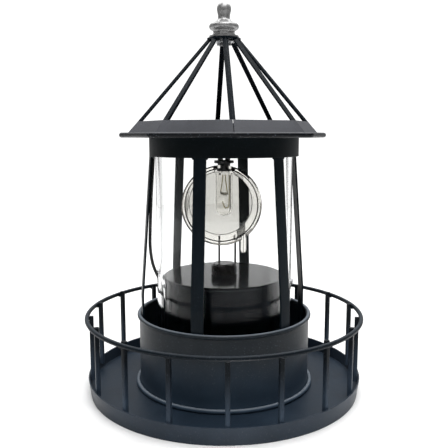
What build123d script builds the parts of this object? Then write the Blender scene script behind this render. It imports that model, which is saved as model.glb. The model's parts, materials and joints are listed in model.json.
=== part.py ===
from build123d import *
import math
import os

os.makedirs("parts", exist_ok=True)

# Solar garden light in the shape of a lighthouse lantern. Millimetres, +Z up, origin at the
# middle of the underside. A bearing is an angle from -Y (the front), positive towards +X.

# ---- sheet metal and overall sizes ----
SHEET = 0.8

# dished tray with a turned-in foot ring
TRAY_LIP_R = 81.2
TRAY_LIP_Z = 9.7
TRAY_FOOT_R = 79.9
TRAY_FOOT_WIDTH = 2.2
FLOOR_Z = 3.2

# handrail and its square balusters, welded by hand: the bearing and the top of each
RAIL_R = 81.25
RAIL_WIRE_R = 1.25
RAIL_Z = 44.9
BALUSTER_SIDE = 2.5
BALUSTER_FOOT_Z = 6.8
BALUSTERS = (
    (1.3, 44.9),
    (21.1, 44.9),
    (42.0, 46.3),
    (62.6, 46.0),
    (79.0, 45.5),
    (98.2, 46.3),
    (118.7, 46.9),
    (139.5, 46.6),
    (160.3, 46.4),
    (180.6, 46.5),
    (199.6, 46.4),
    (218.8, 46.6),
    (239.6, 46.9),
    (259.7, 46.3),
    (279.5, 45.5),
    (297.3, 46.0),
    (319.6, 46.3),
    (339.8, 44.9),
)

# base ring with a rolled bead at the top and the bottom
RING_R = 50.7
RING_TOP_BEAD_Z = 44.95
RING_BEAD_R = 1.25
RING_FOOT_BEAD_R = 52.0

# cage: a round collar and six strip posts rolled from the same sheet
CAGE_SHEET = 1.0
COLLAR_R = 43.4
COLLAR_FOOT_Z = 138.5
POSTS = 6
POST_BEARING = -17.0
POST_WIDTH = 6.9
POST_KNEE_R = 49.45
POST_KNEE_Z = 58.0
POST_FOOT_Z = 28.0
POST_CORNER_R = 0.9

# eight-sided roof: brim rolled round a wire, sloping skirt, open ribs and a hub
ROOF_SIDES = 8
ROOF_BEARING = 5.2
BRIM_Z = 149.8
BRIM_ROLL_CORNER_R = 59.15
BRIM_ROLL_R = 1.45
BRIM_ROLL_Z = 150.45
BRIM_HOLE_R = 38.6
SEAM = 0.35
SKIRT_FOOT_CORNER_R = 56.4
SKIRT_TOP_CORNER_R = 49.6
SKIRT_TOP_Z = 158.2
RIB_FLANGE = 2.0
RIB_FOLD = 40.0
HUB_R = 9.3
HUB_Z = 203.9
HUB_THICK = 1.2
TOP_Z = 225.1

# clear tube
TUBE_R = 40.0
TUBE_WALL = 2.0

# inner drum: housing, lid and moulded base
DRUM_R = 35.6
DRUM_WALL = 1.2
DRUM_TOP_Z = 66.4
LID_R = 36.0
LID_TOP_Z = 68.0
DECK_Z = 46.0
STANDOFF_ANGLES = (50, 145, 290)
STANDOFF_AT_R = 30.0

# rotating optic
HUB_KNOB_R = 7.6
HUB_KNOB_Z = 68.6
HUB_KNOB_TOP_Z = 74.9
SHAFT_R = 2.0
SHAFT_FOOT_Z = 46.6
LENS_Z = 110.0
LENS_OFFSET = -1.7
LENS_YAW = 2.9
LENS_FRONT_R = 23.4
LENS_BACK_R = 20.5
LENS_DEPTH = 13.0
LENS_WALL = 1.7
LENS_HOLE_R = 6.5
ROD_R = 0.6
ROD_SINK = 3.0
RODS = ((-2.85, 0.6), (6.7, 0.6))

# gear pair: 12 teeth drive 24
GEAR_MODULE = 1.0
PINION_TEETH = 12
GEAR_TEETH = 24
MOTOR_SHAFT_R = 1.0
GEAR_Z = 50.6
GEAR_FACE = 3.6
GEAR_CENTRES = GEAR_MODULE * (PINION_TEETH + GEAR_TEETH) / 2 + 0.1
TOOTH_SLACK = 0.22

# battery, its holder and its twist cap
CELL_R = 7.1
CELL_LENGTH = 50.0
CELL_FOOT_Z = 8.0
CELL_AT = (-3.9, 22.0)
HOLDER_BORE_R = 7.5
CAP_R = 9.6
CAP_SEAT_R = 11.3
CAP_GROOVE_R = 9.4
CAP_LUG_R = 9.0

# slide switch
SWITCH_AT = (0.0, -22.0)
KNOB_LENGTH = 3.0
KNOB_WIDTH = 2.0

# circuit board
BOARD_THICK = 1.6
BOARD_FOOT_Z = 10.0
BOARD_AT_R = 22.7

# solar panel
PANEL_SIDE = 62.0
PANEL_THICK = 2.0
PANEL_Z = 154.6

# the one kind of screw
SCREW_R = 0.95
SCREW_LENGTH = 7.0
SCREW_HEAD_R = 1.9
SCREW_HEAD = 1.3
TUBE_SCREW_BEARINGS = (84.0, -102.0)
TUBE_SCREW_Z = 64.2

# internal lead
LEAD_R = 0.9
LEAD_BEARING = -77.0
LEAD_SLOT_WIDTH = 2.8

GAP = 0.3
BASE_ALIGN = (Align.CENTER, Align.CENTER, Align.MIN)


def at_bearing(bearing, radius=0.0, height=0.0):
    """A location on the circle, turned so that its local -Y points outwards."""
    turn = math.radians(bearing)
    spot = (radius * math.sin(turn), -radius * math.cos(turn), height)
    return Location(spot, (0, 0, bearing))


def cylinder(radius, foot, top, centre=(0.0, 0.0)):
    """A plain cylinder between two heights."""
    place = Location((centre[0], centre[1], foot))
    return place * Cylinder(radius, top - foot, align=BASE_ALIGN)


def tube(outer, inner, foot, top, centre=(0.0, 0.0)):
    """A hollow cylinder between two heights."""
    return cylinder(outer, foot, top, centre) - cylinder(inner, foot, top, centre)


def block(size, foot, centre=(0.0, 0.0)):
    """A box that stands on a height."""
    place = Location((centre[0], centre[1], foot))
    return place * Box(*size, align=BASE_ALIGN)


def turned(points):
    """A ring or disc turned about Z from its radius and height points."""
    outline = Polyline([(r, 0, z) for r, z in points], close=True)
    return revolve(make_face(outline), Axis.Z)


def octagon(corner_radius, height, round_corner=0.0):
    """A horizontal octagon whose corners stand on the roof's ribs."""
    shape = RegularPolygon(corner_radius, ROOF_SIDES, rotation=ROOF_BEARING - 90)
    if round_corner:
        shape = fillet(shape.vertices(), round_corner)
    return Plane.XY.offset(height) * shape


def octagonal_plate(corner_radius, foot, top, round_corner=0.0):
    return extrude(octagon(corner_radius, foot, round_corner), top - foot)


def octagonal_frustum(foot_radius, foot, top_radius, top):
    return loft([octagon(foot_radius, foot).face(), octagon(top_radius, top).face()])


# ---------------------------------------------------------------- tray and railing
def lip_inner_radius(height):
    return TRAY_FOOT_R - SHEET + (TRAY_LIP_R - TRAY_FOOT_R) * height / TRAY_LIP_Z


def make_tray():
    shell = turned(
        [
            (10.0, FLOOR_Z - SHEET),
            (lip_inner_radius(FLOOR_Z - SHEET), FLOOR_Z - SHEET),
            (lip_inner_radius(SHEET), SHEET),
            (TRAY_FOOT_R - TRAY_FOOT_WIDTH, SHEET),
            (TRAY_FOOT_R - TRAY_FOOT_WIDTH, 0),
            (TRAY_FOOT_R, 0),
            (TRAY_LIP_R, TRAY_LIP_Z),
            (TRAY_LIP_R - SHEET, TRAY_LIP_Z),
            (lip_inner_radius(FLOOR_Z), FLOOR_Z),
            (10.0, FLOOR_Z),
        ]
    )
    shell += cylinder(12.0, FLOOR_Z - SHEET, FLOOR_Z)
    for place in standoff_places():
        shell -= cylinder(1.45, 0, 10, place)
    shell -= cylinder(CAP_R + 1.4, 0, 10, CELL_AT)
    return shell - block((13, 8, 10), 0, SWITCH_AT)


def make_handrail():
    return Location((0, 0, RAIL_Z)) * Torus(RAIL_R, RAIL_WIRE_R)


def make_baluster(bearing, top):
    bar = block((BALUSTER_SIDE, BALUSTER_SIDE, top - BALUSTER_FOOT_Z), BALUSTER_FOOT_Z)
    bar = fillet(bar.edges().filter_by(Axis.Z), 0.5)
    return at_bearing(bearing, RAIL_R - RAIL_WIRE_R - BALUSTER_SIDE / 2 - 0.02) * bar


def make_base_ring():
    wall = tube(RING_R, RING_R - SHEET, FLOOR_Z, RING_TOP_BEAD_Z)
    top_bead = Location((0, 0, RING_TOP_BEAD_Z)) * Torus(RING_R, RING_BEAD_R)
    foot = tube(RING_FOOT_BEAD_R, RING_R - SHEET, FLOOR_Z, FLOOR_Z + SHEET)
    foot_bead = Location((0, 0, FLOOR_Z + RING_BEAD_R)) * Torus(RING_FOOT_BEAD_R, RING_BEAD_R)
    return wall + top_bead + foot + foot_bead


# ---------------------------------------------------------------- cage
def make_collar():
    return tube(COLLAR_R, COLLAR_R - CAGE_SHEET, COLLAR_FOOT_Z, BRIM_Z)


def make_post(bearing):
    inner_top = COLLAR_R - CAGE_SHEET
    inner_knee = POST_KNEE_R - CAGE_SHEET
    shell = turned(
        [
            (inner_top, COLLAR_FOOT_Z),
            (inner_knee, POST_KNEE_Z),
            (inner_knee, POST_FOOT_Z),
            (POST_KNEE_R, POST_FOOT_Z),
            (POST_KNEE_R, POST_KNEE_Z),
            (COLLAR_R, COLLAR_FOOT_Z),
        ]
    )
    half = POST_WIDTH / 2
    shoulder = COLLAR_FOOT_Z - POST_CORNER_R
    right = Polyline((0, POST_FOOT_Z - 1), (half, POST_FOOT_Z - 1), (half, shoulder))
    corner = RadiusArc((half, shoulder), (half + POST_CORNER_R, COLLAR_FOOT_Z), -POST_CORNER_R)
    top = Polyline((half + POST_CORNER_R, COLLAR_FOOT_Z), (0, COLLAR_FOOT_Z), (0, POST_FOOT_Z - 1))
    half_face = make_face(right + corner + top)
    outline = half_face + mirror(half_face, Plane.YZ)
    strip = extrude(Plane.XZ * outline, 60)
    return shell & (Location((0, 0, 0), (0, 0, bearing)) * strip)


# ---------------------------------------------------------------- roof
def make_roof_skirt():
    brim = octagonal_plate(BRIM_ROLL_CORNER_R, BRIM_Z, BRIM_Z + SHEET, 2.0)
    edge = octagon(BRIM_ROLL_CORNER_R, BRIM_ROLL_Z, 2.0).face().outer_wire()
    roll = sweep(Plane(edge @ 0.06, z_dir=edge % 0.06) * Circle(BRIM_ROLL_R), edge)
    foot = BRIM_Z + SHEET
    skirt = octagonal_frustum(SKIRT_FOOT_CORNER_R, foot, SKIRT_TOP_CORNER_R, SKIRT_TOP_Z)
    inner_foot = SKIRT_FOOT_CORNER_R - 1.25
    inner_top = SKIRT_TOP_CORNER_R - 1.25
    skirt -= octagonal_frustum(inner_foot, foot, inner_top, SKIRT_TOP_Z)
    # the folded strip's two ends meet in an open seam at the front corner
    seam = at_bearing(ROOF_BEARING, SKIRT_FOOT_CORNER_R - 3) * block((SEAM, 16, 12), foot)
    roof = brim + roll + (skirt - seam) - cylinder(BRIM_HOLE_R, BRIM_Z - 5, SKIRT_TOP_Z)
    return roof - at_bearing(LEAD_BEARING, BRIM_HOLE_R) * block((LEAD_SLOT_WIDTH, 7.4, 2.0), BRIM_Z - 0.5)


def make_rib(bearing):
    """A strip folded along its middle, whose ridge carries on the edge of the skirt."""
    rise = HUB_Z + HUB_THICK / 2 - SKIRT_TOP_Z
    run = SKIRT_TOP_CORNER_R - HUB_R
    slope = math.degrees(math.atan2(rise, run))
    fold = math.radians(RIB_FOLD)
    side = RIB_FLANGE * math.cos(fold)
    back = RIB_FLANGE * math.sin(fold)
    thick = SHEET
    half = Polyline((0, 0), (side, -back), (side, -back - thick), (0, -thick), close=True)
    half_face = make_face(half)
    section = half_face + mirror(half_face, Plane.YZ)
    length = math.hypot(rise, run)
    # local x across the rib, local y out of the roof, local z up the rib
    strip = Location((0, 0, -6)) * extrude(section, length + 12)
    lean = Location((0, -SKIRT_TOP_CORNER_R, SKIRT_TOP_Z), (-(90 - slope), 0, 0))
    flip = Location((0, 0, 0), (0, 0, 180))
    leaning = lean * flip * strip
    keep = block((20, 120, HUB_Z - SKIRT_TOP_Z), SKIRT_TOP_Z)
    return Location((0, 0, 0), (0, 0, bearing)) * (leaning & keep)


def make_roof_ribs():
    step = 360 / ROOF_SIDES
    return Compound(children=[make_rib(ROOF_BEARING + step * k) for k in range(ROOF_SIDES)])


def make_roof_hub():
    plate = octagonal_plate(HUB_R + 0.4, HUB_Z, HUB_Z + HUB_THICK, 0.8)
    return plate - cylinder(2.15, HUB_Z - 1, HUB_Z + 3)


def make_finial():
    foot = HUB_Z + HUB_THICK
    stud_r = 2.0
    ball_z = TOP_Z - 4.05
    flare = (8.4, foot + 1.1), (6.8, foot + 1.6), (6.1, foot + 2.7)
    waist = (6.1, foot + 2.7), (6.3, foot + 3.7), (7.3, foot + 4.5)
    flange = (7.3, foot + 4.5), (8.45, foot + 6.2), (7.4, foot + 7.9)
    neck = (7.4, foot + 7.9), (5.2, foot + 8.8), (3.7, foot + 10.1), (3.35, foot + 11.4)
    pear = (3.35, foot + 11.4), (3.5, foot + 12.9), (3.9, foot + 14.6), (4.05, ball_z)
    half_ball = (4.05, ball_z), (4.05 * math.sqrt(0.5), ball_z + 4.05 * math.sqrt(0.5)), (0, TOP_Z)
    edges = [Line((0, foot - 4.4), (stud_r, foot - 4.4)), Line((stud_r, foot - 4.4), (stud_r, foot))]
    edges += [Line((stud_r, foot), (8.4, foot)), Line((8.4, foot), (8.4, foot + 1.1))]
    edges += [ThreePointArc(*flare), ThreePointArc(*waist), ThreePointArc(*flange)]
    edges += [Spline(*neck, tangents=((-1, 0.2), (0, 1))), Spline(*pear, tangents=((0, 1), (0, 1)))]
    edges += [ThreePointArc(*half_ball), Line((0, TOP_Z), (0, foot - 4.4))]
    return Location((0, 0, 0), (90, 0, 0)) * revolve(Face(Wire(edges)), Axis.Y)


def make_finial_nut():
    washer = tube(6.4, 2.05, HUB_Z - 1.1, HUB_Z)
    hexagon = extrude(Plane.XY.offset(HUB_Z - 3.0) * RegularPolygon(4.04, 6), 1.9)
    return Compound(children=[washer, hexagon - cylinder(2.05, HUB_Z - 4, HUB_Z)])


# ---------------------------------------------------------------- solar panel and its deck
def panel_square(side):
    return RectangleRounded(side, side, 2.0, rotation=ROOF_BEARING + 22.5)


def make_roof_deck():
    foot = BRIM_Z + SHEET
    plate = octagonal_plate(46.0, foot, foot + 1.2)
    wall = extrude(Plane.XY.offset(foot + 1.2) * panel_square(PANEL_SIDE - 1), PANEL_Z - foot - 1.2)
    wall -= extrude(Plane.XY.offset(foot + 1.2) * panel_square(PANEL_SIDE - 5), PANEL_Z - foot - 1.2)
    deck = plate + wall
    deck -= cylinder(3.75, foot - 1, foot + 3)
    deck -= at_bearing(LEAD_BEARING, BRIM_HOLE_R) * block((LEAD_SLOT_WIDTH, 7.4, 4.0), foot - 1)
    return deck - at_bearing(LEAD_BEARING, 30.0) * block((LEAD_SLOT_WIDTH, 9.0, 2.4), foot + 1.2)


def make_solar_panel():
    return extrude(Plane.XY.offset(PANEL_Z) * panel_square(PANEL_SIDE), PANEL_THICK)


# ---------------------------------------------------------------- bulb
def make_bulb_socket():
    stem = cylinder(3.7, 135.8, BRIM_Z + SHEET + 2.6)
    stem -= Location((0, 0, 136.75), (90, 0, 0)) * Cylinder(0.75, 10)
    flange = cylinder(5.75, 134.2, 135.8)
    flange = fillet(flange.edges().filter_by(GeomType.CIRCLE), 0.3)
    body = cylinder(3.7, 131.0, 134.2)
    mouth = tube(4.1, 3.2, 129.6, 131.0)
    return stem + flange + body + mouth


def make_bulb_glass():
    outer = cylinder(4.9, 107.9, 128.6) + Location((0, 0, 107.9)) * Sphere(4.9)
    inner = cylinder(4.3, 107.9, 128.6) + Location((0, 0, 107.9)) * Sphere(4.3)
    neck = cylinder(3.2, 128.6, 131.0)
    shoulder = cylinder(4.9, 127.6, 128.6)
    return outer - inner + shoulder + neck


def make_bulb_filament():
    """Support wires in a vee, the coil across them and a bent anchor wire."""
    pieces = []
    for side in (-1, 1):
        path = Polyline((side * 0.7, 0, 127.6), (side * 0.9, 0, 124.5), (side * 2.0, 0, 116.8))
        section = Plane(path @ 0, z_dir=path % 0) * Circle(0.22)
        pieces.append(sweep(section, path, transition=Transition.ROUND))
    coil = Location((0, 0, 116.6), (0, 90, 0)) * Cylinder(0.45, 4.4)
    hook = Polyline((3.0, 0.0, 127.6), (3.0, 0.0, 108.6), (0.4, 0.0, 107.6), (-0.9, 0.0, 111.8))
    section = Plane(hook @ 0, z_dir=hook % 0) * Circle(0.22)
    hook_wire = sweep(section, hook, transition=Transition.ROUND)
    return Compound(children=[pieces[0] + pieces[1] + coil, hook_wire])


# ---------------------------------------------------------------- clear tube and drum
def lead_slot(radius, foot, top):
    """The space of an upright slot with round ends, where the lead passes through a wall."""
    slot = block((LEAD_SLOT_WIDTH, 12, top - foot), foot)
    slot = fillet(slot.edges().filter_by(Axis.Y), LEAD_SLOT_WIDTH / 2 - 0.05)
    return at_bearing(LEAD_BEARING, radius) * slot


def make_glass_tube():
    wall = tube(TUBE_R, TUBE_R - TUBE_WALL, FLOOR_Z, BRIM_Z)
    wall -= lead_slot(TUBE_R, 58.8, 72.0)
    wall -= lead_slot(TUBE_R, 145.5, BRIM_Z + 3)
    for bearing in TUBE_SCREW_BEARINGS:
        wall -= at_bearing(bearing, 0, TUBE_SCREW_Z) * radial_rod(1.2, 35, 45)
    return wall


def radial_rod(radius, inner, outer):
    """A rod along local -Y between two distances from the axis."""
    rod = Cylinder(radius, outer - inner, align=BASE_ALIGN)
    return Location((0, -inner, 0), (90, 0, 0)) * rod


def standoff_places():
    turns = [math.radians(angle) for angle in STANDOFF_ANGLES]
    return [(STANDOFF_AT_R * math.cos(turn), STANDOFF_AT_R * math.sin(turn)) for turn in turns]


def make_drum_housing():
    wall = tube(DRUM_R, DRUM_R - DRUM_WALL, FLOOR_Z, DRUM_TOP_Z)
    for bearing in TUBE_SCREW_BEARINGS:
        wall -= at_bearing(bearing, 0, TUBE_SCREW_Z) * radial_rod(1.2, 30, 38)
    return wall - lead_slot(DRUM_R, 12.5, 24.0)


def make_drum_lid():
    plate = cylinder(LID_R, DRUM_TOP_Z, LID_TOP_Z)
    plate = fillet(plate.edges().filter_by(GeomType.CIRCLE).sort_by(Axis.Z)[-1:], 0.5)
    bore = DRUM_R - DRUM_WALL - 0.05
    skirt = tube(bore, bore - 1.4, DRUM_TOP_Z - 5, DRUM_TOP_Z)
    bearing_boss = cylinder(5.0, DRUM_TOP_Z - 5, DRUM_TOP_Z)
    lid = plate + skirt + bearing_boss
    for bearing in TUBE_SCREW_BEARINGS:
        lid -= at_bearing(bearing, 0, TUBE_SCREW_Z) * radial_rod(SCREW_R, 30, 40)
    return lid - cylinder(SHAFT_R + 0.08, DRUM_TOP_Z - 6, LID_TOP_Z + 1)


def make_drum_base():
    base = cylinder(DRUM_R - DRUM_WALL - 0.1, FLOOR_Z, FLOOR_Z + 2)
    top = FLOOR_Z + 2
    for place in standoff_places():
        base += cylinder(3.0, top, DECK_Z, place)
    base += cylinder(CAP_SEAT_R, top, CELL_FOOT_Z + 1.4, CELL_AT)
    base += cylinder(HOLDER_BORE_R + 1.1, top, CELL_FOOT_Z + CELL_LENGTH + 3.0, CELL_AT)
    base -= cylinder(CAP_R + GAP, FLOOR_Z, top, CELL_AT)
    base -= cylinder(HOLDER_BORE_R + GAP, top, CELL_FOOT_Z, CELL_AT)
    base -= cylinder(HOLDER_BORE_R, top, CELL_FOOT_Z + CELL_LENGTH + 1.6, CELL_AT)
    base -= cylinder(CAP_GROOVE_R, top + 1.1, CELL_FOOT_Z + 0.1, CELL_AT)
    base -= block((2 * CAP_GROOVE_R, 6.4, 1.2), top, CELL_AT)
    base -= block((8.0, 2.6, 2), FLOOR_Z, SWITCH_AT)
    for place in standoff_places():
        base -= cylinder(SCREW_R, FLOOR_Z, 14, place)
        base -= cylinder(SCREW_R, DECK_Z - 7, DECK_Z, place)
    return base


def make_gear_deck():
    """Plate on the three standoffs that carries the motor and the foot of the output shaft."""
    deck = cylinder(DRUM_R - DRUM_WALL - 0.6, DECK_Z, DECK_Z + 2)
    deck -= cylinder(HOLDER_BORE_R + 1.5, DECK_Z, DECK_Z + 2, CELL_AT)
    deck -= cylinder(4.3, DECK_Z, DECK_Z + 2, (GEAR_CENTRES, 0))
    deck -= cylinder(SHAFT_R + 0.08, SHAFT_FOOT_Z - 0.3, DECK_Z + 2)
    for place in standoff_places():
        deck -= cylinder(1.45, DECK_Z, DECK_Z + 2, place)
    return deck


# ---------------------------------------------------------------- drive
def involute_gear(teeth, face, foot):
    """A spur gear whose flanks are involutes of its base circle."""
    pitch = GEAR_MODULE * teeth / 2
    base = pitch * math.cos(math.radians(20))
    tip = pitch + 0.9 * GEAR_MODULE
    root = pitch - 1.25 * GEAR_MODULE
    start = max(base, root + 0.05)
    half_tooth = math.pi / (2 * teeth) - TOOTH_SLACK / 2 / pitch

    def involute(radius):
        roll = math.sqrt(max((radius / base) ** 2 - 1, 0))
        return roll - math.atan(roll)

    radii = [start + (tip - start) * k / 4 for k in range(5)]
    flank = [(r, half_tooth + involute(pitch) - involute(r)) for r in radii]
    points = []
    for k in range(teeth):
        middle = 2 * math.pi * k / teeth
        rising = [(root, -flank[0][1])] + [(r, -a) for r, a in flank]
        falling = [(r, a) for r, a in reversed(flank)] + [(root, flank[0][1])]
        for radius, angle in rising + falling:
            points.append((radius * math.cos(middle + angle), radius * math.sin(middle + angle)))
    outline = Polyline(points, close=True)
    return extrude(Plane.XY.offset(foot) * make_face(outline), face)


def make_output_gear():
    """The wheel and its shaft are one moulding; the shaft carries the turntable hub."""
    wheel = involute_gear(GEAR_TEETH, GEAR_FACE, GEAR_Z)
    wheel += cylinder(4.4, GEAR_Z - 1.6, GEAR_Z + GEAR_FACE + 4.0)
    for k in range(5):
        turn = Location((0, 0, 0), (0, 0, 72 * k))
        wheel -= turn * cylinder(2.4, GEAR_Z - 1, GEAR_Z + GEAR_FACE + 1, (8.6, 0))
    return wheel + cylinder(SHAFT_R, SHAFT_FOOT_Z, HUB_KNOB_TOP_Z - 1.6)


def make_drive_pinion():
    """The pinion on the end of the motor's shaft."""
    pinion = involute_gear(PINION_TEETH, GEAR_FACE + 0.8, GEAR_Z - 0.4)
    pinion = Location((0, 0, 0), (0, 0, 180 / PINION_TEETH)) * pinion
    pinion += cylinder(3.0, GEAR_Z + GEAR_FACE + 0.4, GEAR_Z + GEAR_FACE + 2.4)
    pinion += cylinder(MOTOR_SHAFT_R, DECK_Z + 1.5, GEAR_Z)
    return Location((GEAR_CENTRES, 0, 0)) * pinion


def make_gear_motor():
    centre = (GEAR_CENTRES, 0)
    can = cylinder(11.5, 14.0, 34.0, centre)
    can = fillet(can.edges().filter_by(GeomType.CIRCLE).sort_by(Axis.Z)[:1], 1.0)
    box = cylinder(12.0, 34.0, DECK_Z, centre)
    boss = cylinder(4.0, DECK_Z, DECK_Z + 2.4, centre)
    return can + box + boss - cylinder(MOTOR_SHAFT_R + 0.05, DECK_Z + 1.2, DECK_Z + 3, centre)


# ---------------------------------------------------------------- optic
def make_turntable_hub():
    knob = cylinder(HUB_KNOB_R, HUB_KNOB_Z, HUB_KNOB_TOP_Z)
    knob = fillet(knob.edges().filter_by(GeomType.CIRCLE).sort_by(Axis.Z)[-1:], 1.8)
    for spot in RODS:
        knob -= cylinder(ROD_R, HUB_KNOB_TOP_Z - ROD_SINK, HUB_KNOB_TOP_Z + 1, spot)
    return knob - cylinder(SHAFT_R, HUB_KNOB_Z, HUB_KNOB_TOP_Z - 1.6)


def make_lens_rods():
    foot = HUB_KNOB_TOP_Z - ROD_SINK
    return Compound(children=[cylinder(ROD_R, foot, LENS_Z - 18.9, spot) for spot in RODS])


def lens_place():
    return Location((LENS_OFFSET, 0, LENS_Z), (0, 0, LENS_YAW))


def make_lens_ring():
    """Clear dish ring about a level axis; wide mouth to the front, lens seat at the back."""
    front = -LENS_DEPTH / 2
    back = LENS_DEPTH / 2
    outline = Polyline(
        (LENS_FRONT_R, front, 0),
        (LENS_FRONT_R, front + 1.6, 0),
        (LENS_FRONT_R - 0.8, front + 2.4, 0),
        (LENS_BACK_R, back, 0),
        (LENS_BACK_R - LENS_WALL, back, 0),
        (LENS_FRONT_R - 0.8 - LENS_WALL, front + 1.2, 0),
        (LENS_FRONT_R - LENS_WALL, front, 0),
        close=True,
    )
    ring = lens_place() * revolve(make_face(outline), Axis.Y)
    ring -= cylinder(LENS_HOLE_R, LENS_Z, LENS_Z + 40)
    for spot in RODS:
        ring -= cylinder(ROD_R, HUB_KNOB_TOP_Z, LENS_Z - 18.9, spot)
    peg = Location((11.5, -3.0, LENS_Z - 28.3)) * Cylinder(1.65, 11.0, align=BASE_ALIGN)
    peg = fillet(peg.edges().filter_by(GeomType.CIRCLE).sort_by(Axis.Z)[:1], 1.3)
    bore = Location((0, 0, 0), (90, 0, 0)) * Cylinder(LENS_FRONT_R - 1.6, 40)
    return ring + (peg - lens_place() * bore)


def make_lens_disc():
    seat = LENS_DEPTH / 2 - 1.2
    edge = LENS_BACK_R - LENS_WALL
    crown = 0.3
    dome_r = (edge**2 + crown**2) / (2 * crown)
    middle = edge / 2
    bulge = seat + 1.2 + crown - dome_r + math.sqrt(dome_r**2 - middle**2)
    edges = [Line((0, seat), (edge, seat)), Line((edge, seat), (edge, seat + 1.2))]
    edges.append(ThreePointArc((edge, seat + 1.2), (middle, bulge), (0, seat + 1.2 + crown)))
    edges.append(Line((0, seat + 1.2 + crown), (0, seat)))
    return lens_place() * revolve(Face(Wire(edges)), Axis.Y)


# ---------------------------------------------------------------- battery, switch, board
def make_battery_cell():
    can = cylinder(CELL_R, CELL_FOOT_Z, CELL_FOOT_Z + CELL_LENGTH - 1.4, CELL_AT)
    can = fillet(can.edges().filter_by(GeomType.CIRCLE), 0.6)
    top = CELL_FOOT_Z + CELL_LENGTH
    return can + cylinder(2.7, top - 1.4, top, CELL_AT)


def make_battery_contacts():
    top = CELL_FOOT_Z + CELL_LENGTH
    leaf = block((9.0, 4.0, 0.5), top, CELL_AT) + block((6.0, 4.0, 0.5), top + 1.1, CELL_AT)
    leaf += block((0.5, 4.0, 1.6), top, (CELL_AT[0] + 3.0, CELL_AT[1]))
    return leaf


def make_battery_cap():
    foot = FLOOR_Z - 0.3
    cap = cylinder(CAP_R, foot, FLOOR_Z + 1.7, CELL_AT)
    cap = chamfer(cap.edges().filter_by(GeomType.CIRCLE).sort_by(Axis.Z)[:1], 0.4)
    cap += cylinder(HOLDER_BORE_R - 0.2, FLOOR_Z + 1.7, CELL_FOOT_Z - 0.4, CELL_AT)
    lug_foot = FLOOR_Z + 2 + 1.1 + GAP
    lugs = block((2 * CAP_LUG_R, 5.0, CELL_FOOT_Z - 0.4 - lug_foot), lug_foot, CELL_AT)
    lugs &= cylinder(CAP_LUG_R, lug_foot, CELL_FOOT_Z, CELL_AT)
    turn = Location((CELL_AT[0], CELL_AT[1], 0), (0, 0, 60))
    lugs = turn * Location((-CELL_AT[0], -CELL_AT[1], 0)) * lugs
    return cap + lugs - block((13.0, 1.8, 1.0), foot, CELL_AT)


def make_switch_body():
    foot = FLOOR_Z + 2
    body = block((12.0, 6.0, 6.0), foot, SWITCH_AT)
    body -= block((9.4, 3.6, 2.6), foot, SWITCH_AT)
    for side in (-1, 0, 1):
        body += block((0.6, 1.2, 2.4), foot + 6.0, (SWITCH_AT[0] + 2.5 * side, SWITCH_AT[1]))
    return body


def make_switch_slider():
    """The knob at one end of its travel; it passes down through the base's slot."""
    start = (SWITCH_AT[0] - 1.5, SWITCH_AT[1])
    stem = block((KNOB_LENGTH, KNOB_WIDTH, 4.4), FLOOR_Z - 0.6, start)
    foot = block((5.0, 3.0, 1.6), FLOOR_Z + 2 + GAP, start)
    return stem + foot


def make_circuit_board():
    """An upright board that faces the lead, with its components on the inner side."""
    board = block((30.0, BOARD_THICK, 32.0), BOARD_FOOT_Z)
    face = BOARD_THICK / 2
    for size, foot, across in (((6.0, 1.4, 6.0), 30.0, -7.0), ((4.0, 1.1, 8.0), 14.0, -10.0)):
        board += Location((0, face + size[1] / 2, 0)) * block(size, foot, (across, 0))
    for radius, length, across, height in ((3.0, 5.0, 3.0, 33.0), (2.5, 7.0, 10.0, 35.0)):
        can = Cylinder(radius, length, align=BASE_ALIGN)
        board += Location((across, face, height), (-90, 0, 0)) * can
    return at_bearing(LEAD_BEARING, BOARD_AT_R) * board


# ---------------------------------------------------------------- screws and lead
def screw():
    """A pan-head screw along -Z, with the underside of its head at the origin."""
    head = cylinder(SCREW_HEAD_R, 0, SCREW_HEAD)
    head = fillet(head.edges().filter_by(GeomType.CIRCLE).sort_by(Axis.Z)[-1:], 0.7)
    head -= block((2.2, 0.5, 1.0), SCREW_HEAD - 0.6)
    head -= block((0.5, 2.2, 1.0), SCREW_HEAD - 0.6)
    return head + cylinder(SCREW_R, -SCREW_LENGTH, 0)


def make_screws():
    """Three under the tray, three on the gear deck and two through the clear tube."""
    screws = []
    for x, y in standoff_places():
        screws.append(Location((x, y, FLOOR_Z - SHEET), (180, 0, 0)) * screw())
        screws.append(Location((x, y, DECK_Z + 2)) * screw())
    for bearing in TUBE_SCREW_BEARINGS:
        screws.append(at_bearing(bearing, TUBE_R, TUBE_SCREW_Z) * Location((0, 0, 0), (90, 0, 0)) * screw())
    return Compound(children=screws)


# Route of the lead in its own plane, as distance from the axis and height: from under the
# panel, out over the brim, down between post and tube, in through the tube's slot, down
# beside the drum and through the housing to the circuit board.
LEAD_ROUTE = [
    (27.0, 153.0),
    (34.0, 153.0),
    (39.0, 151.9),
    (41.1, 147.2),
    (41.15, 139.5),
    (43.2, 112.0),
    (44.2, 86.0),
    (42.6, 74.5),
    (37.3, 63.5),
    (36.8, 50.0),
    (36.8, 26.0),
    (35.6, 18.0),
    (31.5, 13.5),
    (23.6, 12.6),
]


def make_panel_lead():
    turn = math.radians(LEAD_BEARING)
    points = [Vector(r * math.sin(turn), -r * math.cos(turn), z) for r, z in LEAD_ROUTE]
    radii = []
    for before, here, after in zip(points, points[1:], points[2:]):
        run = min((here - before).length, (after - here).length)
        bend = (here - before).get_angle(after - here)
        radii.append(0.45 * run / math.tan(math.radians(bend / 2)))
    print("lead radii", [round(r, 1) for r in radii])
    path = FilletPolyline(*points, radius=radii)
    section = Plane(path @ 0, z_dir=path % 0) * Circle(LEAD_R)
    lead = sweep(section, path)
    print("lead length", round(path.length, 1), "volume", round(lead.volume, 1),
          "section x length", round(math.pi * LEAD_R**2 * path.length, 1))
    return lead


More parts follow.
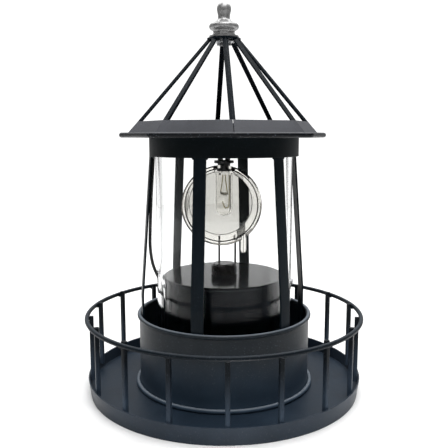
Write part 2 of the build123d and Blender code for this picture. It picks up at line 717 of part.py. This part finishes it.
# ---------------------------------------------------------------- all nodes
NODES = {
    "tray": make_tray(),
    "handrail": make_handrail(),
    "base_ring": make_base_ring(),
    "cage_collar": make_collar(),
    "roof_skirt": make_roof_skirt(),
    "roof_ribs": make_roof_ribs(),
    "roof_hub": make_roof_hub(),
    "roof_deck": make_roof_deck(),
    "solar_panel": make_solar_panel(),
    "finial": make_finial(),
    "finial_nut": make_finial_nut(),
    "bulb_socket": make_bulb_socket(),
    "bulb_glass": make_bulb_glass(),
    "bulb_filament": make_bulb_filament(),
    "glass_tube": make_glass_tube(),
    "drum_housing": make_drum_housing(),
    "drum_lid": make_drum_lid(),
    "drum_base": make_drum_base(),
    "gear_deck": make_gear_deck(),
    "gear_motor": make_gear_motor(),
    "drive_pinion": make_drive_pinion(),
    "output_gear": make_output_gear(),
    "turntable_hub": make_turntable_hub(),
    "lens_rods": make_lens_rods(),
    "lens_ring": make_lens_ring(),
    "lens_disc": make_lens_disc(),
    "battery_cell": make_battery_cell(),
    "battery_contacts": make_battery_contacts(),
    "battery_cap": make_battery_cap(),
    "switch_body": make_switch_body(),
    "switch_slider": make_switch_slider(),
    "circuit_board": make_circuit_board(),
    "panel_lead": make_panel_lead(),
    "screws": make_screws(),
}
for k in range(POSTS):
    NODES[f"cage_post_{k + 1}"] = make_post(POST_BEARING + 360 / POSTS * k)
for k, (bearing, top) in enumerate(BALUSTERS):
    NODES[f"baluster_{k + 1:02d}"] = make_baluster(bearing, top)

for name, shape in NODES.items():
    export_step(shape, f"parts/{name}.step")
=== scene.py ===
import json
import math

import bmesh
import bpy
from mathutils import Matrix, Vector, noise


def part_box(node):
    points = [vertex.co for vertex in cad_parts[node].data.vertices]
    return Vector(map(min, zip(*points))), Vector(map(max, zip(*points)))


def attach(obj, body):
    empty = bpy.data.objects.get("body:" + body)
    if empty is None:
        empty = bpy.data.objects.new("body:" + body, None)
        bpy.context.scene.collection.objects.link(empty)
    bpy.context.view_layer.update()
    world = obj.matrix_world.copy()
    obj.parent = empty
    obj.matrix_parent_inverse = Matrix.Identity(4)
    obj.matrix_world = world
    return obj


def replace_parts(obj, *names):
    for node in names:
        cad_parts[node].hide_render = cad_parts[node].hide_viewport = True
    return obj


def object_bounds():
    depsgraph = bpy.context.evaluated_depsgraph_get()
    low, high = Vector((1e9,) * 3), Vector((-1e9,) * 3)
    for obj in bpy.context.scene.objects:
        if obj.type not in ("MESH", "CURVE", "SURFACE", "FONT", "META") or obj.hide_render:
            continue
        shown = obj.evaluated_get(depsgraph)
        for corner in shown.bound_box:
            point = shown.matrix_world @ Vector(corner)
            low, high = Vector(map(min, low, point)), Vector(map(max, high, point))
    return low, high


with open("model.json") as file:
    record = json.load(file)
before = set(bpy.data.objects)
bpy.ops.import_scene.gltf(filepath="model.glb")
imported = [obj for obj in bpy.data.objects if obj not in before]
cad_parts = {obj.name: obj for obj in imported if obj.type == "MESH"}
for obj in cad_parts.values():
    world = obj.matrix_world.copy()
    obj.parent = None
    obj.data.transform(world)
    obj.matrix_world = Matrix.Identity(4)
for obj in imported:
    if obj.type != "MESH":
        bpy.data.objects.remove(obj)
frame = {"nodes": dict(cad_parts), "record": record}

CAD_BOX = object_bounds()
RECORD = frame["record"]
MM = 0.001

# surroundings: the floor disc in metres, and the strength of the room's white
FLOOR_RADIUS = 0.85
FLOOR_MIDDLE_Y = 0.15
WHITE_ROOM = 1.2

# detail pieces: lengths in millimetres, PANEL_TURN in degrees
COIL_TURNS = 6
COIL_RADIUS = 0.85
COIL_LENGTH = 4.4
COIL_HEIGHT = 116.7
PANEL_TURN = 27.7
PANEL_ACTIVE = 57.0
CELL_STRIPS = 6
CELL_GAP = 0.5
CELL_THICK = 0.14
FINGER_PITCH = 1.9
FINGER_WIDTH = 0.10
FINGER_THICK = 0.04
BUSBAR_WIDTH = 0.7
BUSBAR_THICK = 0.06
WELD_SIZE = (1.3, 2.0, 1.2)
WELD_CLEAR = 0.25
WELD_RAISE = 0.5

# ------------------------------------------------------------------ camera
# The eye stands level with the roof's brim and looks a little down at the deck.
EYE_DISTANCE = 0.364
EYE_HEIGHT = 0.1503
EYE_PITCH = 8.15
LENS = 49.75

camera_data = bpy.data.cameras.new("camera")
camera_data.lens = LENS
camera_data.sensor_width = 36.0
camera_data.clip_start = 0.01
camera = bpy.data.objects.new("camera", camera_data)
camera.location = (0, -EYE_DISTANCE, EYE_HEIGHT)
camera.rotation_euler = (math.radians(90 - EYE_PITCH), 0, 0)
bpy.context.scene.collection.objects.link(camera)
bpy.context.scene.camera = camera
bpy.context.scene.view_settings.view_transform = "Standard"


# ------------------------------------------------------------------ node helpers
class Shader:
    """A material under construction: node() adds a node, wire() joins two sockets."""

    def __init__(self, name):
        self.material = bpy.data.materials.new(name)
        self.material.use_nodes = True
        self.tree = self.material.node_tree
        self.surface = self.tree.nodes["Principled BSDF"]
        self.where = self.node("ShaderNodeTexCoord").outputs["Object"]

    def node(self, kind, **settings):
        made = self.tree.nodes.new(kind)
        for key, value in settings.items():
            setattr(made, key, value)
        return made

    def wire(self, source, target):
        self.tree.links.new(source, target)

    def set(self, **values):
        for key, value in values.items():
            self.surface.inputs[key.replace("_", " ")].default_value = value

    def noise(self, scale, detail=4.0, roughness=0.6):
        """Noise of a scale in features per metre, from 0 to 1."""
        texture = self.node("ShaderNodeTexNoise")
        texture.inputs["Scale"].default_value = scale
        texture.inputs["Detail"].default_value = detail
        texture.inputs["Roughness"].default_value = roughness
        self.wire(self.where, texture.inputs["Vector"])
        return texture.outputs["Fac"]

    def ramp(self, source, low, high, start=0.3, end=0.7):
        """A value or colour that runs from low to high as source runs from start to end."""
        ramp = self.node("ShaderNodeMapRange")
        ramp.inputs["From Min"].default_value = start
        ramp.inputs["From Max"].default_value = end
        ramp.inputs["To Min"].default_value = low
        ramp.inputs["To Max"].default_value = high
        self.wire(source, ramp.inputs["Value"])
        return ramp.outputs["Result"]

    def mix(self, factor, first, second):
        """A colour between two: each is a colour or a socket."""
        mixer = self.node("ShaderNodeMix", data_type="RGBA")
        colour_in = [s for s in mixer.inputs if s.type == "RGBA"]
        self.wire(factor, mixer.inputs["Factor"])
        for value, target in ((first, colour_in[0]), (second, colour_in[1])):
            if isinstance(value, tuple):
                target.default_value = value + (1.0,)
            else:
                self.wire(value, target)
        return [s for s in mixer.outputs if s.type == "RGBA"][0]

    def height(self):
        """Height above the ground, in metres."""
        parts = self.node("ShaderNodeSeparateXYZ")
        self.wire(self.where, parts.inputs["Vector"])
        return parts.outputs["Z"]

    def facing_up(self):
        """How far the surface faces up, from -1 to 1."""
        parts = self.node("ShaderNodeSeparateXYZ")
        geometry = self.node("ShaderNodeNewGeometry")
        self.wire(geometry.outputs["Normal"], parts.inputs["Vector"])
        return parts.outputs["Z"]

    def edge_normal(self, radius):
        """The normal with edges rounded by radius, and a mask that is 1 on those edges."""
        bevel = self.node("ShaderNodeBevel", samples=4)
        bevel.inputs["Radius"].default_value = radius
        geometry = self.node("ShaderNodeNewGeometry")
        dot = self.node("ShaderNodeVectorMath", operation="DOT_PRODUCT")
        self.wire(bevel.outputs["Normal"], dot.inputs[0])
        self.wire(geometry.outputs["Normal"], dot.inputs[1])
        return bevel.outputs["Normal"], self.ramp(dot.outputs["Value"], 1.0, 0.0, 0.75, 0.995)

    def bump(self, height, strength, distance, normal=None):
        """Surface relief from a height of 0 to 1, distance in metres, over the given normal."""
        bump = self.node("ShaderNodeBump")
        bump.inputs["Strength"].default_value = strength
        bump.inputs["Distance"].default_value = distance
        self.wire(height, bump.inputs["Height"])
        if normal:
            self.wire(normal, bump.inputs["Normal"])
        self.wire(bump.outputs["Normal"], self.surface.inputs["Normal"])


# ------------------------------------------------------------------ materials
def powder_coat(name, foot, top, edge_light, shine, levels, up_facing_grey=0.0, specked=0.5):
    """Blue-black powder coat on sheet steel: orange peel, specks, and thin edges painted lighter, partly as
    wear and partly as a painted highlight.

    Its colour runs from foot to top between two levels, in millimetres above the ground; this run is painted
    light and shade, set part by part to how light falls there.
    What faces up is greyed paler, from none at 0, and specked is the strength of the specks.
    """
    shader = Shader(name)
    cloud = shader.noise(45, 3)
    grain = shader.noise(2600, 2, 0.5)
    normal, edge = shader.edge_normal(0.35 * MM)
    # painted light and shade: the colour runs with height between foot and top, as light falls on each part
    height = shader.ramp(shader.height(), 0, 1, levels[0] * MM, levels[1] * MM)
    body = shader.mix(height, foot, top)
    paler = shader.mix(height, tuple(1.45 * c for c in foot), tuple(1.45 * c for c in top))
    clouded = shader.mix(shader.ramp(cloud, 0, 1), body, paler)
    specks = shader.ramp(shader.noise(1500, 0, 0.5), 0, specked, 0.68, 0.80)
    speckled = shader.mix(specks, clouded, (0.050, 0.060, 0.076))
    # what faces up is greyed paler towards a blue-grey
    greyed_on_top = shader.mix(shader.ramp(shader.facing_up(), 0, up_facing_grey, 0.55, 0.98), speckled, (0.150, 0.175, 0.205))
    # edges are painted lighter: partly wear and partly a painted highlight
    worn_and_highlit = shader.mix(shader.ramp(edge, 0, 0.45, 0.0, 1.0), greyed_on_top, edge_light)
    shader.wire(worn_and_highlit, shader.surface.inputs["Base Color"])
    shader.wire(shader.ramp(cloud, 0.36, 0.48), shader.surface.inputs["Roughness"])
    shader.set(Specular_IOR_Level=shine, Metallic=0.0)
    shader.bump(grain, 0.22, 0.06 * MM, normal)
    return shader.material


def silver_paint():
    """Sprayed silver with fine flake and a faint cloudiness."""
    shader = Shader("silver_paint")
    flake = shader.noise(3800, 1, 0.5)
    cloud = shader.noise(260, 3)
    colour = shader.mix(shader.ramp(cloud, 0, 1), (0.20, 0.20, 0.20), (0.31, 0.31, 0.31))
    shader.wire(shader.mix(shader.ramp(flake, 0, 0.5, 0.55, 0.75), colour, (0.6, 0.6, 0.6)),
                shader.surface.inputs["Base Color"])
    shader.wire(shader.ramp(flake, 0.26, 0.38), shader.surface.inputs["Roughness"])
    shader.set(Metallic=0.45, Specular_IOR_Level=0.9)
    shader.bump(flake, 0.25, 0.04 * MM)
    return shader.material


def gloss_black(name, shine, rough_low, rough_high):
    """Polished black of the drum or its lid, with faint handling haze and a painted highlight along its
    edges, with a little wear.
    """
    shader = Shader(name)
    haze = shader.noise(90, 4)
    normal, edge = shader.edge_normal(0.4 * MM)
    body = shader.mix(shader.ramp(haze, 0, 1), (0.0034, 0.0054, 0.0072), (0.0054, 0.0080, 0.0104))
    # the edges are painted lighter: a painted highlight along the rims, with a little wear
    shader.wire(shader.mix(edge, body, (0.105, 0.115, 0.125)), shader.surface.inputs["Base Color"])
    shader.wire(shader.ramp(haze, rough_low, rough_high), shader.surface.inputs["Roughness"])
    shader.set(Specular_IOR_Level=shine)
    shader.bump(shader.noise(700, 2), 0.05, 0.05 * MM, normal)
    return shader.material


def moulded(name, dark, light, rough_low, rough_high, grain=2200, strength=0.25, shine=0.5):
    """A moulded plastic with a fine grained skin."""
    shader = Shader(name)
    cloud = shader.noise(120, 3)
    shader.wire(shader.mix(shader.ramp(cloud, 0, 1), dark, light), shader.surface.inputs["Base Color"])
    shader.wire(shader.ramp(cloud, rough_low, rough_high), shader.surface.inputs["Roughness"])
    shader.set(Specular_IOR_Level=shine)
    shader.bump(shader.noise(grain, 2), strength, 0.05 * MM)
    return shader.material


def clear(name, tint, low, high, ior=1.49, mirror=1.0):
    """Clear plastic or glass whose polish varies a little, as after wiping.

    mirror below 1 weakens what the surface reflects when it is seen square on.
    """
    shader = Shader(name)
    haze = shader.noise(60, 3)
    shader.set(Transmission_Weight=1.0, IOR=ior, Base_Color=tint + (1.0,))
    shader.set(Specular_Tint=(mirror, mirror, mirror, 1.0))
    shader.wire(shader.ramp(haze, low, high, 0.45, 0.8), shader.surface.inputs["Roughness"])
    shader.bump(shader.noise(35, 2), 0.03, 0.2 * MM)
    return shader.material


def metal(name, dark, light, rough_low, rough_high):
    """Bare or plated metal, finely mottled in tone and roughness."""
    shader = Shader(name)
    marks = shader.noise(900, 3)
    shader.wire(shader.mix(shader.ramp(marks, 0, 1), dark, light), shader.surface.inputs["Base Color"])
    shader.wire(shader.ramp(marks, rough_low, rough_high), shader.surface.inputs["Roughness"])
    shader.set(Metallic=1.0)
    shader.bump(marks, 0.12, 0.03 * MM)
    return shader.material


def solar_glass():
    """Deep blue cells under a clear laminate with crystal mottling."""
    shader = Shader("solar_glass")
    cells = shader.node("ShaderNodeTexVoronoi")
    cells.inputs["Scale"].default_value = 420
    shader.wire(shader.where, cells.inputs["Vector"])
    mottle = shader.ramp(cells.outputs["Distance"], 0, 1, 0.1, 0.8)
    shader.wire(shader.mix(mottle, (0.006, 0.010, 0.030), (0.014, 0.026, 0.075)),
                shader.surface.inputs["Base Color"])
    shader.wire(shader.ramp(shader.noise(80, 3), 0.12, 0.25), shader.surface.inputs["Roughness"])
    shader.set(Coat_Weight=1.0, Coat_Roughness=0.04)
    return shader.material


# One blue-black coat. Its tone is set part by part, and by height, to how dark each part reads
# under the studio light; it isn't a difference between the real parts' paint.
COAT = powder_coat("black_powder_coat", (0.0115, 0.0215, 0.0345), (0.0020, 0.0044, 0.0070),
                   (0.030, 0.038, 0.049), 0.10, (5, 36), up_facing_grey=0.18)
# The balusters are painted paler towards their feet: painted light from the floor.
BALUSTER_SHADED_COAT = powder_coat("baluster_shaded_coat", (0.034, 0.050, 0.073), (0.0018, 0.0036, 0.0056),
                            (0.040, 0.050, 0.064), 0.10, (7, 36))
POST_SHADED_COAT = powder_coat("post_shaded_coat", (0.0020, 0.0056, 0.0092), (0.0012, 0.0036, 0.0056),
                        (0.010, 0.015, 0.021), 0.12, (30, 130), specked=0.15)
# The two back posts get a lighter copy of the coat: painted light, not another paint.
BACK_POST_LIT_COAT = powder_coat("back_post_lit_coat", (0.0200, 0.0265, 0.0290), (0.0200, 0.0265, 0.0290),
                             (0.045, 0.055, 0.060), 0.25, (30, 130))
# The roof is painted dark below 151 mm on its lower edge and lighter above it: painted shade and light.
ROOF_SHADED_COAT = powder_coat("roof_shaded_coat", (0.0010, 0.0018, 0.0030), (0.041, 0.043, 0.050),
                        (0.060, 0.063, 0.073), 0.18, (151.0, 151.8), specked=1.0)
# The ring is painted paler towards its foot, as painted light from the floor, and darker towards its top, as
# painted shade.
RING_SHADED_COAT = powder_coat("ring_shaded_coat", (0.0260, 0.0430, 0.0660), (0.0040, 0.0076, 0.0112),
                        (0.060, 0.070, 0.085), 0.24, (4, 34), up_facing_grey=0.9)
DECK_SHADED_COAT = powder_coat("deck_shaded_coat", (0.0095, 0.0170, 0.0275), (0.0140, 0.0225, 0.0350),
                        (0.065, 0.078, 0.096), 0.22, (3, 10))
COLLAR_SHADED_COAT = powder_coat("collar_shaded_coat", (0.0006, 0.0022, 0.0030), (0.0010, 0.0034, 0.0048),
                          (0.006, 0.010, 0.013), 0.12, (138, 150), specked=0.12)

HOUSING_BLACK = gloss_black("housing_black", 0.10, 0.12, 0.20)

# The tube's IOR is below acrylic's 1.49 and its mirror is weak, so that reflections don't veil
# what stands inside it.
MATERIALS = {
    "black_powder_coat": COAT,
    "silver_paint": silver_paint(),
    "gloss_black": gloss_black("gloss_black", 0.11, 0.08, 0.16),
    "black_plastic": moulded("black_plastic", (0.010, 0.010, 0.011), (0.018, 0.018, 0.020), 0.45, 0.6),
    "hub_plastic": moulded("hub_plastic", (0.007, 0.006, 0.006), (0.013, 0.010, 0.010), 0.22, 0.34,
                           1500, 0.1, 0.25),
    "white_plastic": moulded("white_plastic", (0.62, 0.61, 0.57), (0.72, 0.71, 0.67), 0.35, 0.5),
    "battery_wrap": moulded("battery_wrap", (0.03, 0.20, 0.09), (0.04, 0.26, 0.12), 0.2, 0.3, 900, 0.05),
    "board_green": moulded("board_green", (0.01, 0.13, 0.045), (0.015, 0.19, 0.06), 0.25, 0.4, 1200, 0.2),
    "black_lead": moulded("black_lead", (0.008, 0.008, 0.009), (0.014, 0.014, 0.015), 0.38, 0.5, 1600, 0.15),
    "clear_acrylic": clear("clear_acrylic", (0.985, 0.99, 0.99), 0.0, 0.015, 1.36, 0.12),
    "clear_lens": clear("clear_lens", (0.70, 0.683, 0.645), 0.02, 0.10, 1.58),
    "tinted_lens": clear("tinted_lens", (0.575, 0.565, 0.53), 0.0, 0.03),
    "bulb_glass": clear("bulb_glass", (0.97, 0.965, 0.95), 0.0, 0.02, 1.5),
    "filament_wire": metal("filament_wire", (0.30, 0.24, 0.08), (0.48, 0.40, 0.16), 0.35, 0.5),
    "coil_wire": metal("coil_wire", (0.13, 0.11, 0.06), (0.26, 0.22, 0.12), 0.35, 0.5),
    "black_wire": moulded("black_wire", (0.012, 0.010, 0.009), (0.022, 0.018, 0.016), 0.5, 0.65, 1800, 0.15),
    "plated_steel": metal("plated_steel", (0.42, 0.43, 0.44), (0.58, 0.59, 0.60), 0.25, 0.4),
    "brass": metal("brass", (0.55, 0.40, 0.15), (0.72, 0.55, 0.25), 0.2, 0.35),
    "solar_glass": solar_glass(),
}

SLOT_OF = {row["node"]: row["material_slot"] for row in RECORD["subparts"]}
COAT_OF = {"roof_skirt": ROOF_SHADED_COAT, "tray": DECK_SHADED_COAT, "base_ring": RING_SHADED_COAT, "cage_collar": COLLAR_SHADED_COAT}
COAT_OF.update({name: POST_SHADED_COAT for name in SLOT_OF if name.startswith("cage_post")})
COAT_OF.update({name: BALUSTER_SHADED_COAT for name in SLOT_OF if name.startswith("baluster")})
COAT_OF.update({name: BACK_POST_LIT_COAT for name in ("cage_post_4", "cage_post_5")})
COAT_OF["drum_housing"] = HOUSING_BLACK
for node_name, node_object in frame["nodes"].items():
    finish = COAT_OF.get(node_name, MATERIALS[SLOT_OF[node_name]])
    if not node_object.material_slots:
        node_object.data.materials.append(finish)
    for material_slot in node_object.material_slots:
        material_slot.material = finish


# ------------------------------------------------------------------ detail pieces
def add_piece(name, data, slot_name, body="root"):
    """A piece with one of the materials, and that material's slot, that moves with a CAD body."""
    made = bpy.data.objects.new(name, data)
    bpy.context.scene.collection.objects.link(made)
    data.materials.append(MATERIALS[slot_name])
    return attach(made, body)


def wires(name, radius, runs, slot_name):
    """Round wires that follow lists of control points given in millimetres."""
    curve = bpy.data.curves.new(name, "CURVE")
    curve.dimensions = "3D"
    curve.bevel_depth = radius * MM
    curve.bevel_resolution = 4
    curve.use_fill_caps = True
    curve.resolution_u = 6
    for run in runs:
        spline = curve.splines.new("NURBS")
        spline.points.add(len(run) - 1)
        for point, place in zip(spline.points, run):
            point.co = [c * MM for c in place] + [1.0]
        spline.order_u = 3
        spline.use_endpoint_u = True
    return add_piece(name, curve, slot_name)


def filament():
    """A loosely wound, sagging coil at two splayed supports, and the bent anchor wire beside it."""
    supports = []
    for side in (-1, 1):
        run = [(0.7, 127.6), (0.75, 126.2), (0.9, 124.5), (1.45, 120.6), (2.0, 116.9)]
        supports.append([(side * x, 0.0, z) for x, z in run])
    anchor = [(3.0, 127.6), (3.0, 120.0), (3.0, 110.2), (2.7, 108.4), (1.4, 107.9), (0.4, 107.7)]
    supports.append([(x, 0.0, z) for x, z in anchor + [(-0.9, 111.8)]])
    steps = COIL_TURNS * 10
    coil = []
    for step in range(steps + 1):
        along = step / steps
        turn = 2 * math.pi * COIL_TURNS * along
        sag = -0.5 * math.sin(math.pi * along) + 0.22 * math.sin(5.3 * along + 0.6)
        reach = COIL_RADIUS * (1 + 0.25 * math.sin(3.1 * turn / COIL_TURNS))
        height = COIL_HEIGHT + sag + reach * math.sin(turn)
        coil.append((COIL_LENGTH * (along - 0.5), reach * math.cos(turn), height))
    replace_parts(wires("filament_supports", 0.25, supports, "filament_wire"), "bulb_filament")
    wires("filament_coil", 0.17, [coil], "coil_wire")


def tiles(name, boxes, slot_name, place, chamfer=0.03):
    """Chamfered flat tiles, each (x, y, z, width, depth, height) in millimetres, moved by place."""
    mesh = bpy.data.meshes.new(name)
    shape = bmesh.new()
    for x, y, z, width, depth, height in boxes:
        size = Matrix.Diagonal((width, depth, height, 1.0))
        bmesh.ops.create_cube(shape, size=1.0, matrix=Matrix.Translation((x, y, z)) @ size)
    bmesh.ops.bevel(shape, geom=list(shape.edges), offset=chamfer, segments=2, affect="EDGES", profile=0.5)
    bmesh.ops.transform(shape, matrix=Matrix.Scale(MM, 4) @ place, verts=shape.verts)
    shape.to_mesh(mesh)
    shape.free()
    add_piece(name, mesh, slot_name)


def solar_cells():
    """Cell strips on the panel under the open ribs, with their busbars and thin cross fingers."""
    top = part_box("solar_panel")[1].z / MM
    place = Matrix.Translation((0, 0, top)) @ Matrix.Rotation(math.radians(PANEL_TURN), 4, "Z")
    pitch = PANEL_ACTIVE / CELL_STRIPS
    middles = [pitch * (k + 0.5) - PANEL_ACTIVE / 2 for k in range(CELL_STRIPS)]
    strips = [(x, 0, 0.05, pitch - CELL_GAP, PANEL_ACTIVE, CELL_THICK) for x in middles]
    tiles("solar_cells", strips, "solar_glass", place)
    collectors = [(x, 0, 0.14, BUSBAR_WIDTH, PANEL_ACTIVE, BUSBAR_THICK) for x in middles]
    rows = int(PANEL_ACTIVE / FINGER_PITCH)
    for row in range(1, rows):
        across = row * FINGER_PITCH - PANEL_ACTIVE / 2
        collectors.append((0, across, 0.135, PANEL_ACTIVE - 1.0, FINGER_WIDTH, FINGER_THICK))
    tiles("solar_collectors", collectors, "plated_steel", place, 0.008)


def rail_welds():
    """A small uneven weld where each baluster meets the handrail."""
    rail_low, rail_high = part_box("handrail")
    outer = rail_high.x - WELD_CLEAR * MM
    mesh = bpy.data.meshes.new("rail_welds")
    welds = bmesh.new()
    noise_origin = Vector((3.1, 7.7, 1.9))
    for name in sorted(frame["nodes"]):
        if not name.startswith("baluster_"):
            continue
        low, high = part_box(name)
        centre = (low + high) / 2
        bearing = math.atan2(centre.y, centre.x)
        blob = bmesh.ops.create_icosphere(welds, subdivisions=3, radius=1.0)["verts"]
        turned = Matrix.Rotation(bearing, 4, "Z")
        spot = Vector((math.cos(bearing), math.sin(bearing), 0)) * (outer - WELD_SIZE[0] * MM)
        spot.z = rail_low.z + WELD_RAISE * MM
        for vertex in blob:
            lump = 1 + 0.10 * noise.noise(vertex.co * 1.6 + noise_origin + centre * 90)
            shaped = Vector(c * size * MM * lump for c, size in zip(vertex.co, WELD_SIZE))
            vertex.co = spot + turned @ shaped
    for face in welds.faces:
        face.smooth = True
    welds.to_mesh(mesh)
    welds.free()
    add_piece("rail_welds", mesh, "black_powder_coat")


filament()
solar_cells()
rail_welds()


# ------------------------------------------------------------------ floor and light
def floor():
    """A round white floor, whose edge is lost against the white of the room."""
    lowest = CAD_BOX[0][2]
    mesh = bpy.data.meshes.new("floor")
    disc = bmesh.new()
    bmesh.ops.create_circle(disc, cap_ends=True, segments=96, radius=FLOOR_RADIUS)
    bmesh.ops.translate(disc, verts=disc.verts, vec=(0, FLOOR_MIDDLE_Y, lowest))
    for face in disc.faces:
        face.normal_update()
        if face.normal.z < 0:
            face.normal_flip()
    disc.to_mesh(mesh)
    disc.free()
    made = bpy.data.objects.new("floor", mesh)
    bpy.context.scene.collection.objects.link(made)
    shader = Shader("floor")
    shader.wire(shader.mix(shader.noise(6, 2), (0.88, 0.88, 0.88), (0.92, 0.92, 0.92)),
                shader.surface.inputs["Base Color"])
    shader.wire(shader.ramp(shader.noise(20, 2), 0.85, 0.95), shader.surface.inputs["Roughness"])
    # seen from below the floor isn't there, and it casts no shadow, so the lamp under it lights
    # the object's underside
    open_to = shader.node("ShaderNodeMath", operation="MAXIMUM")
    shader.wire(shader.node("ShaderNodeNewGeometry").outputs["Backfacing"], open_to.inputs[0])
    shader.wire(shader.node("ShaderNodeLightPath").outputs["Is Shadow Ray"], open_to.inputs[1])
    blend = shader.node("ShaderNodeMixShader")
    shader.wire(open_to.outputs["Value"], blend.inputs["Fac"])
    shader.wire(shader.surface.outputs["BSDF"], blend.inputs[1])
    shader.wire(shader.node("ShaderNodeBsdfTransparent").outputs["BSDF"], blend.inputs[2])
    shader.wire(blend.outputs["Shader"], shader.tree.nodes["Material Output"].inputs["Surface"])
    made.data.materials.append(shader.material)


def area_light(name, place, target, size, power):
    data = bpy.data.lights.new(name, "AREA")
    data.shape = "RECTANGLE"
    data.size, data.size_y = size
    data.energy = power
    made = bpy.data.objects.new(name, data)
    made.location = place
    made.rotation_euler = (Vector(target) - Vector(place)).to_track_quat("-Z", "Y").to_euler()
    bpy.context.scene.collection.objects.link(made)


def surroundings():
    """A white room where it is seen directly; for all other light it is graded.

    The near side is dark, and the far side and the ceiling are a soft grey. What is seen through
    clear parts turns from graded to white towards the far side.
    """
    world = bpy.data.worlds.new("studio")
    world.use_nodes = True
    bpy.context.scene.world = world
    nodes, links = world.node_tree.nodes, world.node_tree.links
    coordinate = nodes.new("ShaderNodeTexCoord")
    parts = nodes.new("ShaderNodeSeparateXYZ")
    links.new(coordinate.outputs["Generated"], parts.inputs["Vector"])

    def fade(source, start, end, low, high):
        made = nodes.new("ShaderNodeMapRange")
        made.interpolation_type = "SMOOTHSTEP"
        for socket, value in (("From Min", start), ("From Max", end), ("To Min", low), ("To Max", high)):
            made.inputs[socket].default_value = value
        links.new(source, made.inputs["Value"])
        return made.outputs["Result"]

    def combine(operation, first, second):
        made = nodes.new("ShaderNodeMath")
        made.operation = operation
        links.new(first, made.inputs[0])
        links.new(second, made.inputs[1])
        return made.outputs["Value"]

    far = fade(parts.outputs["Y"], -0.35, 0.75, 0.03, 0.45)
    ceiling = fade(parts.outputs["Z"], 0.35, 0.9, 0.0, 0.35)
    lit = combine("ADD", far, ceiling)
    ray = nodes.new("ShaderNodeLightPath")
    through = fade(parts.outputs["Y"], 0.05, 0.60, 0.0, 1.0)
    through = combine("MULTIPLY", through, ray.outputs["Is Transmission Ray"])
    seen = combine("MAXIMUM", ray.outputs["Is Camera Ray"], through)
    strength = nodes.new("ShaderNodeMix")
    strength.inputs["B"].default_value = WHITE_ROOM
    links.new(seen, strength.inputs["Factor"])
    links.new(lit, strength.inputs["A"])
    links.new(strength.outputs["Result"], nodes["Background"].inputs["Strength"])
    nodes["Background"].inputs["Color"].default_value = (1.0, 1.0, 1.0, 1.0)


floor()
surroundings()
area_light("overhead", (0.10, -0.16, 0.95), (0, -0.02, 0.10), (0.60, 0.50), 5.5)
area_light("far_floor", (0.0, 0.62, 1.1), (0, 0.40, 0), (1.6, 0.9), 14)
area_light("under", (0.06, -0.06, -0.50), (0, 0, 0), (0.12, 0.12), 3.0)
area_light("near_floor", (0.0, -0.75, 0.9), (0, -0.35, 0), (1.4, 0.6), 6)
